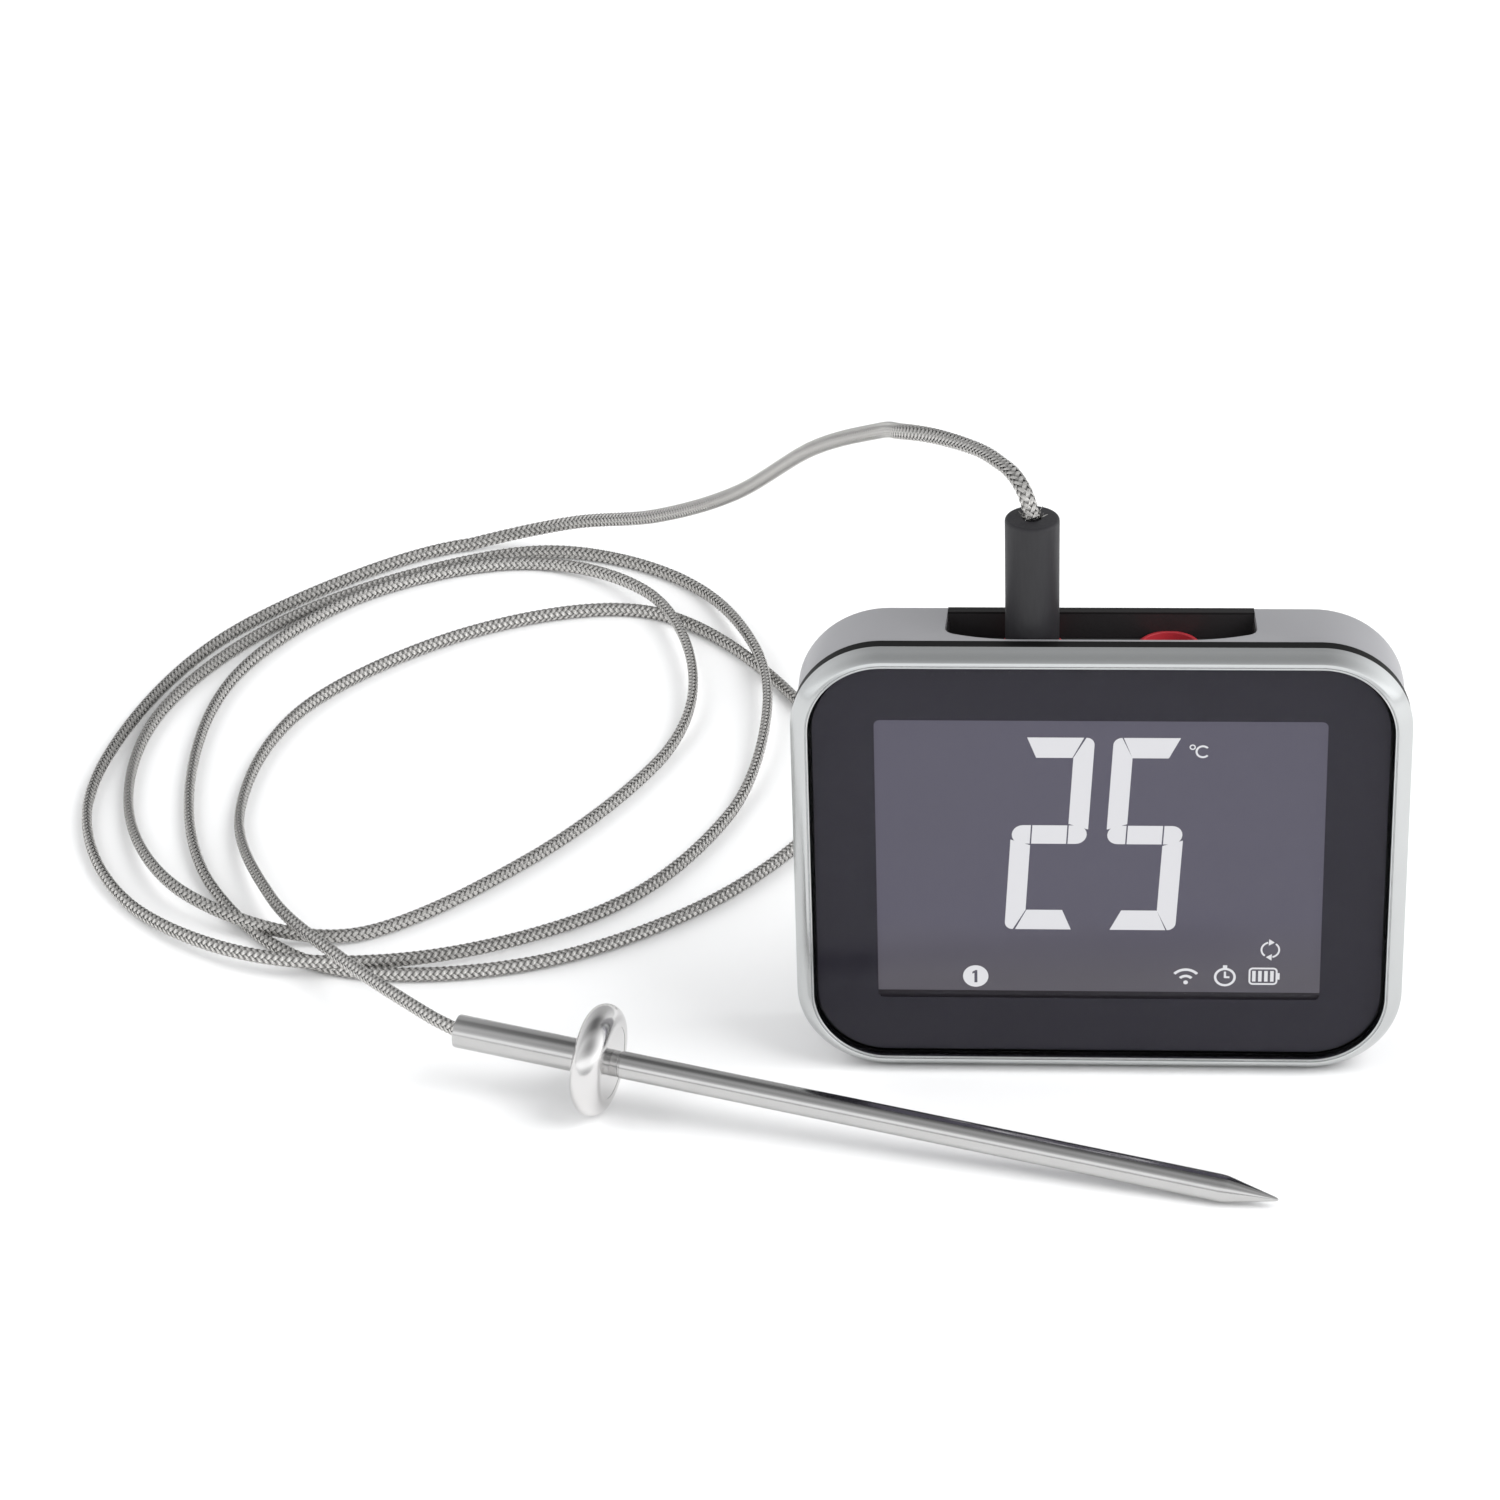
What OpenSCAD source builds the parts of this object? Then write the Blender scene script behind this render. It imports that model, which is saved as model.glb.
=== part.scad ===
// Two-channel meat thermometer: a glass-fronted display unit that stands on its lower edge, with a
// braided lead that runs in loose loops from a plug in its top to a steel roasting probe.
// +X is to the right, +Y to the rear and +Z up. Z = 0 is the surface that everything stands on.

/* [Case] */
// Width of the bezel ring, the widest part of the display unit
case_w = 100; // [99:0.5:101]
// Height of the bezel ring
case_h = 80; // [79.5:0.5:80.5]
// Corner radius of the bezel ring
case_r = 15; // [14:0.5:16]
// Width of the polished ring seen from the front
bezel_w = 2.9; // [2.7:0.1:3.1]
// Depth of the bezel ring from front to rear
bezel_d = 2.8; // [2.6:0.1:3]
// How far the grey housing steps in from the bezel at each side
housing_step = 0.7; // [0.5:0.1:0.9]
// Wall thickness of the grey housing
housing_wall = 1.8; // [1.6:0.1:2]
// How far the foot strip lifts the case off the table
foot_h = 0.5; // [0.4:0.1:0.8]

/* [Display] */
// Width of the clear window in the glass
window_w = 72.9; // [71:0.1:74]
// Height of the clear window in the glass
window_h = 53.1; // [52:0.1:54]
// Height of the window's middle above the middle of the glass
window_up = 0.3; // [0:0.1:1.2]
// Thickness of the cover glass
glass_t = 1.1; // [0.9:0.1:1.2]

/* [Jacks] */
// Distance from the middle of the unit to each jack's axis
jack_x = 11; // [10.5:0.5:11.5]
// Radius of the hole in each jack, for a 2.5 mm plug
jack_bore_r = 1.3; // [1.28:0.01:1.32]
// Depth of the hole in each jack
jack_depth = 11.5; // [11.3:0.1:11.8]
// Outer radius of the red collars
collar_r = 5.35; // [5.1:0.05:5.5]

/* [Plug and probe] */
// Radius of the plug's rubber grip
grip_r = 4.2; // [4:0.05:4.25]
// Length of the plug's rubber grip
grip_l = 26.2; // [25:0.1:27]
// Radius of the plug's pin
pin_r = 1.25; // [1.22:0.01:1.27]
// Radius of the braided lead's stand-in tube
lead_r = 0.9; // [0.8:0.05:0.9]
// Radius of the needle
needle_r = 2.3; // [2.1:0.1:2.3]
// Length of the needle beyond the disc
needle_l = 112; // [100:1:115]
// Radius of the steel disc
disc_r = 9.45; // [9.2:0.05:9.45]
// Radius of the handle tube behind the disc
sleeve_r = 2.8; // [2.6:0.05:2.9]

/* [Stand and buttons] */
// Width of the fold-out stand
stand_w = 30; // [26:1:32]
// Length of the fold-out stand below its hinge
stand_l = 41; // [38:1:42]
// Travel of the power button
button_travel = 0.5; // [0.3:0.1:0.5]

/* [Hidden] */
$fn = 64;
front_y = -9;                           // foremost plane of the bezel ring
bezel_back_y = front_y + bezel_d;
glass_y = front_y + 0.4;                // front of the glass, just below the ring
glass_back_y = glass_y + glass_t;
print_t = 0.2;                          // black border behind the glass
film_t = 0.3;                           // touch film
film_back_y = glass_back_y + print_t + film_t;
panel_back_y = film_back_y + 1.8;
guide_back_y = panel_back_y + 1.6;
can_back_y = guide_back_y + 0.4;        // back of the display's metal can
housing_y = -4.8;                       // front edge of the grey housing
housing_back_y = 7.5;
cover_back_y = 9.5;
mid_z = foot_h + case_h / 2;
window_z = mid_z + window_up;
top_z = foot_h + case_h;
housing_w = case_w - 2 * housing_step;
housing_h = case_h - 0.8;
housing_r = case_r + 0.2;
housing_side_x = housing_w / 2;
housing_top_z = mid_z + housing_h / 2;
housing_under_z = housing_top_z - housing_wall;
fit_gap = 0.15;                         // gap between parts of one body that sit in each other
move_gap = 0.3;                         // gap between parts that move past each other
glass_w = case_w - 2 * bezel_w - 2 * fit_gap;
glass_h = case_h - 2 * bezel_w - 2 * fit_gap;
glass_r = case_r - bezel_w - fit_gap;
opening_w = housing_w - 5.2;            // opening at the rear of the housing
opening_h = housing_h - 5.2;
opening_r = housing_r - 2.6;
boss_x = 41;                            // corner screws
boss_z = 31;
boss_r = 2.6;
screw_r = 1;

// The pocket for the jacks
pocket_front_y = -3.5;
pocket_half_w = 25;
pocket_flat_x = 13.5;
pocket_bow_r = 30;
pocket_corner_r = 2;
pocket_floor_z = top_z - 5.3;
jack_y = 1.05;
collar_top_z = pocket_floor_z + 1.3;
jack_top_z = pocket_floor_z - 2;
grip_z = jack_top_z + move_gap;
pin_l = 11;
grip_top_z = grip_z + grip_l;

// The board behind the display
board_y = -1.2;
board_t = 1.2;
board_back_y = board_y + board_t;
board_z = 35;                           // middle of the board
board_h = 45;
board_screw_x = 37;
board_screw_z = 16;

// The stand's hinge
hinge_y = 8.2;
hinge_z = 51;
hinge_r = 1.1;
hinge_pin_r = 0.6;
pad_y = 5.5;                            // inner face of the stand pocket's floor
pocket_y = 6.7;                         // outer face of the stand pocket's floor

// The power button and the charging port, both in the right-hand side
button_z = 52;
button_y = 1;
port_z = 28;
port_y = 1.3;
flap_l = 12;
flap_w = 6.4;
flap_hinge_z = port_z - flap_l / 2;

// The probe: its disc's middle, and the way it points across the table and down to it
disc_at = [-82.4, -20, 9.47];
probe_heading = -13.5;
probe_dip = 3.86;
sleeve_l = 22.25;
disc_t = 5.3;
tip_l = 9;

// The lead's route, first through the air from the plug and then in loops on the table
lead_at = [
    [-jack_x, jack_y, grip_top_z], [-11.7, 2.4, 103.4], [-13.5, 5.7, 104.9], [-16, 10.4, 104.6],
    [-20, 18, 103.2], [-27, 30, 99.5], [-33.5, 41, 95], [-38, 57, 87], [-51, 86, 69], [-68, 126, 39.5],
    [-86, 155, 19.5], [-105, 174, 8], [-126, 177, 1.5]
];
loops_at = [
    [-126.6, 176.6, 1.5], [-149, 162, 1.4], [-171, 136, 1.4], [-183, 103, 1.4], [-185, 70, 1.4],
    [-172, 40, 1.4], [-145, 20, 3.4], [-114, 23, 2.2], [-84, 42, 1.4], [-67, 72, 1.4],
    [-62, 103, 3.5], [-66, 132, 3.5], [-81, 161, 1.4], [-108, 174, 1.4], [-136, 164, 1.4],
    [-162, 141, 1.4], [-178, 107, 1.4], [-177, 70, 1.6], [-160, 38, 4], [-131, 30, 1.6],
    [-102, 56, 1.4], [-81, 92, 1.4], [-77, 121, 3.5], [-88, 153, 3.4], [-113, 169, 1.4],
    [-144, 156, 1.4], [-165, 124, 1.4], [-168, 84, 1.4], [-158, 46, 1.4], [-134, 20, 1.4],
    [-97, 22, 1.4], [-64, 47, 1.4], [-47, 84, 1.4], [-62, 123, 1.4], [-88, 149, 1.4],
    [-121, 141, 1.4], [-150, 111, 1.4], [-157, 73, 1.4], [-146, 38, 4.4], [-130, 14, 7],
    [-113.3, -7.4, 10.4], [-106.42, -14.23, 11.14]
];

// ---------- shared shapes ----------

// A rectangle with round corners, centred
module round_rect(w, h, r) {
    square([w - 2 * r, h], center = true);
    square([w, h - 2 * r], center = true);
    for (x = [-1, 1], y = [-1, 1]) translate([x * (w / 2 - r), y * (h / 2 - r)]) circle(r);
}

// An upright plate with round corners, from y0 back to y1, with its middle at height z
module plate(w, h, r, y0, y1, z = mid_z, x = 0) {
    translate([x, y1, z]) rotate([90, 0, 0]) linear_extrude(y1 - y0) round_rect(w, h, r);
}

// An upright frame: a plate with a smaller one cut from it
module frame(w, h, r, w2, h2, r2, y0, y1, z = mid_z, z2 = mid_z) {
    difference() {
        plate(w, h, r, y0, y1, z);
        plate(w2, h2, r2, y0 - 1, y1 + 1, z2);
    }
}

// Sweeps a profile around an upright rounded rectangle. Its X is the distance out from the
// outline and its Y is the distance forwards.
module around(w, h, r) {
    translate([0, 0, mid_z]) rotate([90, 0, 0]) {
        for (i = [0:3])
            translate([(i == 0 || i == 3 ? 1 : -1) * (w / 2 - r), (i < 2 ? 1 : -1) * (h / 2 - r), 0])
                rotate([0, 0, 90 * i]) rotate_extrude(angle = 90) translate([r, 0]) children();
        for (i = [0:3]) {
            side = i % 2 == 0 ? h : w;
            out = i % 2 == 0 ? w : h;
            rotate([0, 0, 90 * i]) translate([out / 2, 0, 0]) rotate([90, 0, 0])
                linear_extrude(side - 2 * r, center = true) children();
        }
    }
}

// A box given by two opposite corners
module box(a, b) {
    translate(a) cube(b - a);
}

// A cylinder along Y from y0 back to y1
module disc_y(x, z, r, y0, y1) {
    translate([x, y1, z]) rotate([90, 0, 0]) cylinder(h = y1 - y0, r = r);
}

// Points of a quarter circle of radius r about c, starting at angle a
function quarter(c, r, a, steps = 8) =
    [for (i = [0:steps]) c + r * [cos(a + 90 * i / steps), sin(a + 90 * i / steps)]];

// ---------- the sweep of the lead ----------

// A point between p1 and p2 on the smooth curve through four route points
function smooth(p0, p1, p2, p3, t) =
    0.5 * (2 * p1 + (p2 - p0) * t + (2 * p0 - 5 * p1 + 4 * p2 - p3) * t * t
        + (3 * p1 - p0 - 3 * p2 + p3) * t * t * t);

// A route's point number i, carried on past both ends
function knot(route, i) =
    i < 0 ? 2 * route[0] - route[1]
    : i >= len(route) ? 2 * route[len(route) - 1] - route[len(route) - 2]
    : route[i];

// The point at u route points from the start
function along(route, u) =
    let (i = min(floor(u), len(route) - 2))
    smooth(knot(route, i - 1), knot(route, i), knot(route, i + 1), knot(route, i + 2), u - i);

function unit(v) = v / norm(v);

// A ring of the tube: eight points around the curve at u
function tube_ring(route, u, r) =
    let (
        ahead = along(route, min(u + 0.02, len(route) - 1)),
        behind = along(route, max(u - 0.02, 0)),
        way = unit(ahead - behind),
        side = unit(cross(way, abs(way[2]) > 0.9 ? [0, 1, 0] : [0, 0, 1])),
        up = cross(side, way)
    )
    [for (k = [0:7]) along(route, u) + r * (cos(45 * k) * side + sin(45 * k) * up)];

module tube(route, rings, r) {
    last = len(route) - 1;
    points = [for (j = [0:rings]) each tube_ring(route, last * j / rings, r)];
    walls = [
        for (j = [0:rings - 1], k = [0:7])
            [8 * j + k, 8 * j + (k + 1) % 8, 8 * j + 8 + (k + 1) % 8, 8 * j + 8 + k]
    ];
    ends = [[for (k = [7:-1:0]) k], [for (k = [0:7]) 8 * rings + k]];
    polyhedron(points, concat(walls, ends), convexity = 20);
}

// ---------- display unit: front ----------

module bezel() {
    round_y = 1.9;
    color("silver") around(case_w, case_h, case_r) polygon(concat(
        [[-bezel_w, -bezel_back_y], [-0.2, -bezel_back_y], [0, -bezel_back_y + 0.2]],
        quarter([-round_y, -front_y - round_y], round_y, 0, 10),
        [[-round_y - 0.12, -front_y - 0.15], [-round_y - 0.24, -front_y - 0.08],
            [-bezel_w, -front_y - 0.5]]
    ));
}

module front_glass() {
    color("gray", 0.4) plate(glass_w, glass_h, glass_r, glass_y, glass_back_y);
}

module glass_border() {
    color("black") frame(glass_w - 1, glass_h - 1, glass_r - 0.5, window_w, window_h, 1,
        glass_back_y, glass_back_y + print_t, mid_z, window_z);
}

module touch_film() {
    color("lightgray", 0.4)
        plate(88, 68, 3, glass_back_y + print_t, film_back_y);
}

module lcd_panel() {
    color("dimgray") plate(77, 57, 0.6, film_back_y, panel_back_y, window_z);
}

module light_guide() {
    color("white") plate(77, 57, 0.6, panel_back_y, guide_back_y, window_z);
}

module display_can() {
    color("lightsteelblue") difference() {
        union() {
            plate(78.4, 58.4, 1, film_back_y, can_back_y, window_z);
            at_board_screws() disc_y(0, 0, 1.9, guide_back_y + 0.1, board_y);
        }
        plate(77, 57, 0.6, film_back_y - 1, guide_back_y, window_z);
        at_board_screws() disc_y(0, 0, screw_r, can_back_y, board_y + 1);
    }
}

module display_carrier() {
    color("black") difference() {
        union() {
            plate(glass_w, glass_h, glass_r, film_back_y, bezel_back_y);
            plate(case_w - 1.8, case_h - 1.8, case_r - 0.9, bezel_back_y, housing_y);
            for (x = [-1, 1], z = [-1, 1])
                disc_y(x * boss_x, mid_z + z * boss_z, boss_r, housing_y, housing_back_y);
        }
        plate(78.8, 58.8, 1.2, film_back_y - 1, can_back_y + move_gap, window_z);
        for (x = [-1, 1], z = [-1, 1])
            disc_y(x * boss_x, mid_z + z * boss_z, screw_r, -1, housing_back_y + 1);
    }
}

// ---------- display unit: case ----------

// The plan of the pocket for the jacks: a bowed front edge and sides that close a little to the
// rear, grown all round by grow
module pocket_plan(grow = 0, back_y = 12) {
    half = pocket_half_w + grow;
    front = pocket_front_y - grow;
    // the bow ends in a corner round that touches it and the side
    lean = asin((half - pocket_corner_r - pocket_flat_x) / (pocket_bow_r - pocket_corner_r));
    corner_y = front + pocket_bow_r - (pocket_bow_r - pocket_corner_r) * cos(lean);
    bow = concat(
        [for (i = [0:5]) [pocket_flat_x + pocket_bow_r * sin(lean * i / 5),
            front + pocket_bow_r * (1 - cos(lean * i / 5))]],
        [for (i = [1:4]) let (a = lean + (90 - lean) * i / 4)
            [half - pocket_corner_r * (1 - sin(a)), corner_y - pocket_corner_r * cos(a)]]
    );
    last = len(bow) - 1;
    polygon(concat(bow, [[half, 0.6], [half - 0.6, back_y], [-half + 0.6, back_y], [-half, 0.6]],
        [for (i = [last:-1:0]) [-bow[i][0], bow[i][1]]]));
}

module housing() {
    edge = 0.8;
    color("darkgray") difference() {
        around(housing_w, housing_h, housing_r) polygon(concat(
            [[0, -housing_y]],
            [[-housing_wall, -housing_y], [-housing_wall, -5.9], [-2.6, -5.9], [-2.6, -housing_back_y]],
            quarter([-edge, -housing_back_y + edge], edge, -90)
        ));
        translate([0, 0, housing_top_z - 6]) linear_extrude(10) pocket_plan();
        // slot for the power button, and the port's hole with the flap's shallow seat around it
        translate([housing_side_x, button_y, button_z]) rotate([0, 90, 0])
            linear_extrude(6, center = true) round_rect(10, 4, 1.95);
        translate([housing_side_x, port_y, port_z]) rotate([0, 90, 0])
            linear_extrude(6, center = true) round_rect(9, 4, 1);
        translate([housing_side_x - 1, port_y, port_z]) rotate([0, 90, 0])
            linear_extrude(3) round_rect(flap_l + 2 * move_gap, flap_w + 2 * move_gap, 1.2);
    }
}

module rear_cover() {
    edge = 1.5;
    w = opening_w + 1.6;
    h = opening_h + 1.6;
    r = opening_r + 0.8;
    rim_w = opening_w - 2 * fit_gap;
    rim_h = opening_h - 2 * fit_gap;
    pocket_low_z = hinge_z - stand_l - move_gap;
    pocket_high_z = hinge_z + hinge_r + 0.7;
    color("black") difference() {
        union() {
            plate(w - 2 * edge, h - 2 * edge, r - edge, housing_back_y, cover_back_y);
            around(w, h, r) polygon(concat(
                [[-edge, -housing_back_y], [0, -housing_back_y], [0, -cover_back_y + edge]],
                [for (i = [1:8]) let (a = -90 * i / 8)
                    [-edge + edge * cos(a), -cover_back_y + edge + edge * sin(a)]]
            ));
            difference() {
                frame(rim_w, rim_h, opening_r - fit_gap, rim_w - 2.4, rim_h - 2.4,
                    opening_r - fit_gap - 1.2, 5.7, housing_back_y);
                translate([0, 0, pocket_floor_z - 4]) linear_extrude(12) pocket_plan(1.6);
            }
            box([-stand_w / 2 - 2, pad_y, pocket_low_z - 5.4], [stand_w / 2 + 2, 8, pocket_high_z + 1.5]);
        }
        // pocket for the stand, and a scoop under its tip for a finger
        box([-stand_w / 2 - move_gap, pocket_y, pocket_low_z],
            [stand_w / 2 + move_gap, 12, pocket_high_z]);
        translate([0, 11.2, pocket_low_z]) rotate([0, 90, 0]) cylinder(h = 14, r = 4.4, center = true);
        translate([0, hinge_y, hinge_z]) rotate([0, 90, 0])
            cylinder(h = stand_w + 3.6, r = hinge_pin_r, center = true);
        for (x = [-1, 1], z = [-1, 1]) {
            disc_y(x * boss_x, mid_z + z * boss_z, screw_r + 0.1, 5, 12);
            disc_y(x * boss_x, mid_z + z * boss_z, 2, cover_back_y - 1.1, 12);
            // room for the carrier's bosses
            disc_y(x * boss_x, mid_z + z * boss_z, boss_r + fit_gap, 5, housing_back_y);
        }
    }
}

// Black tray under the pocket: its sides close the gap up to the housing, and its rear wall stands
// in the open back of the pocket
module jack_tray() {
    wall = 1.1;
    inner_back_y = jack_y + collar_r + 0.1;
    side_back_y = 5.8;
    low_z = pocket_floor_z - 1.2;
    color("black") difference() {
        union() {
            translate([0, 0, low_z]) linear_extrude(housing_under_z - 0.05 - low_z)
                pocket_plan(wall, side_back_y);
            box([-pocket_half_w + 1, side_back_y - 0.1, low_z], [pocket_half_w - 1, 7.4, housing_top_z - 0.4]);
        }
        translate([0, 0, pocket_floor_z]) linear_extrude(10) intersection() {
            pocket_plan(-0.05, inner_back_y);
            translate([-40, -3]) square([80, 20]);
        }
        translate([-40, -10, pocket_floor_z]) cube([80, 7, 10]);
        for (x = [-1, 1]) translate([x * jack_x, jack_y, pocket_floor_z - 3])
            cylinder(h = 6, r = collar_r - 0.4);
    }
}

module foot_strip() {
    color("dimgray") linear_extrude(foot_h + 0.4) round_rect(64, 7, 3.4);
}

// ---------- display unit: jacks ----------

module collar() {
    low_z = jack_top_z - 1;
    color("firebrick") translate([0, jack_y, 0]) rotate_extrude() difference() {
        union() {
            translate([1, low_z]) square([collar_r - 1.45, pocket_floor_z - low_z]);
            translate([1, pocket_floor_z]) square([collar_r - 1.25, collar_top_z - pocket_floor_z]);
            translate([1, pocket_floor_z]) square([collar_r - 1, collar_top_z - pocket_floor_z - 0.25]);
        }
        translate([0, jack_top_z]) square([grip_r + move_gap, 10]);
        translate([0, low_z - 1]) square([2, 5]);
    }
}

module collar_left() translate([-jack_x, 0, 0]) collar();
module collar_right() translate([jack_x, 0, 0]) collar();

module jack() {
    color("dimgray") difference() {
        union() {
            box([-3.7, jack_y - 3.2, jack_top_z - 12.2], [3.7, jack_y + 3.2, jack_top_z - 1]);
            translate([0, jack_y, jack_top_z - 1.5]) cylinder(h = 1.5, r = 1.95);
        }
        translate([0, jack_y, jack_top_z - jack_depth]) cylinder(h = jack_depth + 1, r = jack_bore_r);
    }
}

module jack_left() translate([-jack_x, 0, 0]) jack();
module jack_right() translate([jack_x, 0, 0]) jack();

// Three legs under each jack, bent forwards onto the board
module jack_terminals() {
    low_z = jack_top_z - 17;
    back_y = jack_y + 0.15;
    color("gold") for (x = [-jack_x, jack_x], i = [-1:1]) translate([x + i * 2.2 - 0.5, 0, 0]) union() {
        box([0, back_y - 0.3, low_z], [1, back_y, jack_top_z - 12.2]);
        box([0, board_back_y, low_z], [1, back_y, low_z + 0.3]);
    }
}

// ---------- display unit: inside ----------

// Places children at the four screws that hold the board
module at_board_screws() {
    for (x = [-1, 1], z = [-1, 1])
        translate([x * board_screw_x, 0, board_z + z * board_screw_z]) children();
}

module main_board() {
    color("darkgreen") difference() {
        plate(88, board_h, 1, board_y, board_back_y, board_z);
        at_board_screws() disc_y(0, 0, screw_r + 0.05, board_y - 1, board_back_y + 1);
    }
}

module board_screws() {
    color("silver") at_board_screws() {
        disc_y(0, 0, screw_r, can_back_y + 0.3, board_back_y);
        disc_y(0, 0, 1.8, board_back_y, board_back_y + 1);
    }
}

module wireless_module() {
    color("lightsteelblue") box([-36, board_back_y, 29], [-22, board_back_y + 2.2, 47]);
}

// Flat strip from the display's can round the lower edge of the board
module display_ribbon() {
    color("orange") union() {
        box([-9, can_back_y, 6.2], [9, can_back_y + 0.2, 20]);
        box([-9, can_back_y, 6], [9, board_back_y + 0.3, 6.2]);
        box([-9, board_back_y + 0.1, 6], [9, board_back_y + 0.3, 15]);
    }
}

module battery() {
    color("lightgray") plate(50, 32, 1.5, board_back_y + 1.4, pad_y - 0.2, 30, 5);
}

module battery_tape() {
    color("white") box([-14, pad_y - 0.2, 20], [14, pad_y, 40]);
}

module buzzer() {
    color("dimgray") difference() {
        disc_y(-28, 20, 6, board_back_y, board_back_y + 3.2);
        disc_y(-28, 20, 1, board_back_y + 2, board_back_y + 4);
    }
}

module charge_port() {
    color("silver") difference() {
        translate([43.2, port_y, port_z]) rotate([0, 90, 0]) linear_extrude(4.1) round_rect(7.8, 2.6, 0.6);
        translate([44, port_y, port_z]) rotate([0, 90, 0]) linear_extrude(4.1) round_rect(7, 1.8, 0.4);
    }
}

module port_cover() {
    outer_x = housing_side_x + 0.1;
    color("dimgray") union() {
        translate([outer_x - 0.8, port_y, port_z]) rotate([0, 90, 0])
            linear_extrude(0.8) round_rect(flap_l, flap_w, 1);
        box([outer_x - 1.8, port_y - 0.6, port_z - 3], [outer_x - 0.7, port_y + 0.6, port_z + 3]);
    }
}

module power_button() {
    color("silver") translate([0, button_y, button_z]) rotate([0, 90, 0]) {
        translate([0, 0, housing_side_x - housing_wall - 0.5])
            linear_extrude(housing_wall + 0.5 + button_travel) round_rect(9.4, 3.4, 1.65);
        translate([0, 0, housing_side_x - housing_wall - 1.1]) linear_extrude(0.8)
            round_rect(11.6, 5.2, 2.4);
    }
}

module power_switch() {
    inner_x = housing_side_x - housing_wall;
    color("dimgray") union() {
        box([inner_x - 4.6, board_back_y, button_z - 3], [inner_x - 2.4, board_back_y + 2.4, button_z + 3]);
        translate([inner_x - 2.4, button_y, button_z]) rotate([0, 90, 0]) cylinder(h = 0.6, r = 0.9);
    }
}

module magnets() {
    color("silver") for (x = [-33, 33], z = [-1, 1])
        disc_y(x, mid_z + z * 20, 5, housing_back_y - 2, housing_back_y);
}

// Countersunk screws that draw the rear cover onto the carrier's bosses
module rear_screws() {
    color("silver") for (x = [-1, 1], z = [-1, 1])
        translate([x * boss_x, 0, mid_z + z * boss_z]) difference() {
            union() {
                disc_y(0, 0, screw_r, 0.5, cover_back_y - 1.1);
                disc_y(0, 0, 1.9, cover_back_y - 1.1, cover_back_y - 0.1);
            }
            for (a = [0, 90]) rotate([0, a, 0])
                box([-1.1, cover_back_y - 0.7, -0.22], [1.1, cover_back_y + 1, 0.22]);
        }
}

// ---------- stand ----------

module stand() {
    back_y = cover_back_y - 0.2;
    color("darkgray") difference() {
        union() {
            box([-stand_w / 2, back_y - 1.8, hinge_z - stand_l], [stand_w / 2, back_y, hinge_z]);
            translate([0, hinge_y, hinge_z]) rotate([0, 90, 0])
                cylinder(h = stand_w, r = hinge_r, center = true);
        }
        translate([0, hinge_y, hinge_z]) rotate([0, 90, 0])
            cylinder(h = stand_w + 2, r = hinge_pin_r + 0.05, center = true);
        // a window that saves weight
        plate(stand_w - 12, stand_l - 18, 3, back_y - 3, back_y + 1, hinge_z - stand_l / 2 - 0.5);
    }
}

module stand_pin() {
    color("silver") translate([0, hinge_y, hinge_z]) rotate([0, 90, 0])
        cylinder(h = stand_w + 3.4, r = hinge_pin_r, center = true);
}

// ---------- plug and lead ----------

module plug_grip() {
    color("darkslategray") translate([-jack_x, jack_y, grip_z]) rotate_extrude() polygon(concat(
        [[0, 0], [grip_r - 0.3, 0], [grip_r, 0.3]],
        quarter([grip_r - 0.5, grip_l - 0.5], 0.5, 0, 4),
        [[0, grip_l]]
    ));
}

module plug_sleeve() {
    color("silver") translate([-jack_x, jack_y, grip_z - 6.8]) cylinder(h = 6.8, r = pin_r);
}

module plug_ring() {
    color("black") translate([-jack_x, jack_y, grip_z - 7.5]) cylinder(h = 0.7, r = pin_r);
}

// The pin's tip, with the waist that the jack's spring drops into
module plug_tip() {
    color("silver") translate([-jack_x, jack_y, grip_z - pin_l]) rotate_extrude()
        polygon([[0, 0], [0.4, 0], [1.15, 1], [1.15, 1.4], [0.8, 2.1], [0.8, 2.3], [1.15, 2.9],
            [1.15, pin_l - 7.5], [0, pin_l - 7.5]]);
}

module cable_lead() color("lightgray") tube(lead_at, 20, lead_r);
module cable_loops() color("lightgray") tube(loops_at, 60, lead_r);

// ---------- probe ----------

// Places children with their +Z along the probe, towards its tip, and their origin in the disc
module on_probe() {
    translate(disc_at) rotate([0, 90 + probe_dip, probe_heading]) children();
}

module probe_sleeve() {
    color("silver") on_probe() translate([0, 0, -disc_t / 2 - sleeve_l]) rotate_extrude()
        polygon([[0, 0], [sleeve_r - 0.3, 0], [sleeve_r, 0.3], [sleeve_r, sleeve_l], [0, sleeve_l]]);
}

module probe_disc() {
    edge = disc_t / 2;
    color("silver") on_probe() rotate_extrude() {
        translate([0, -edge]) square([disc_r - edge, disc_t]);
        intersection() {
            translate([disc_r - edge, 0]) circle(edge);
            translate([disc_r - edge, -edge]) square([edge, disc_t]);
        }
    }
}

module probe_needle() {
    wall = 0.35;
    color("silver") on_probe() translate([0, 0, disc_t / 2]) rotate_extrude()
        polygon([[needle_r - wall, 0], [needle_r, 0], [needle_r, needle_l - tip_l], [0.25, needle_l],
            [0, needle_l], [0, needle_l - tip_l - 1], [needle_r - wall, needle_l - tip_l - 1]]);
}

module sensor_bead() {
    color("sienna") on_probe() translate([0, 0, disc_t / 2 + needle_l - tip_l - 4.5]) cylinder(h = 3.5, r = 1.1);
}

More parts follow.
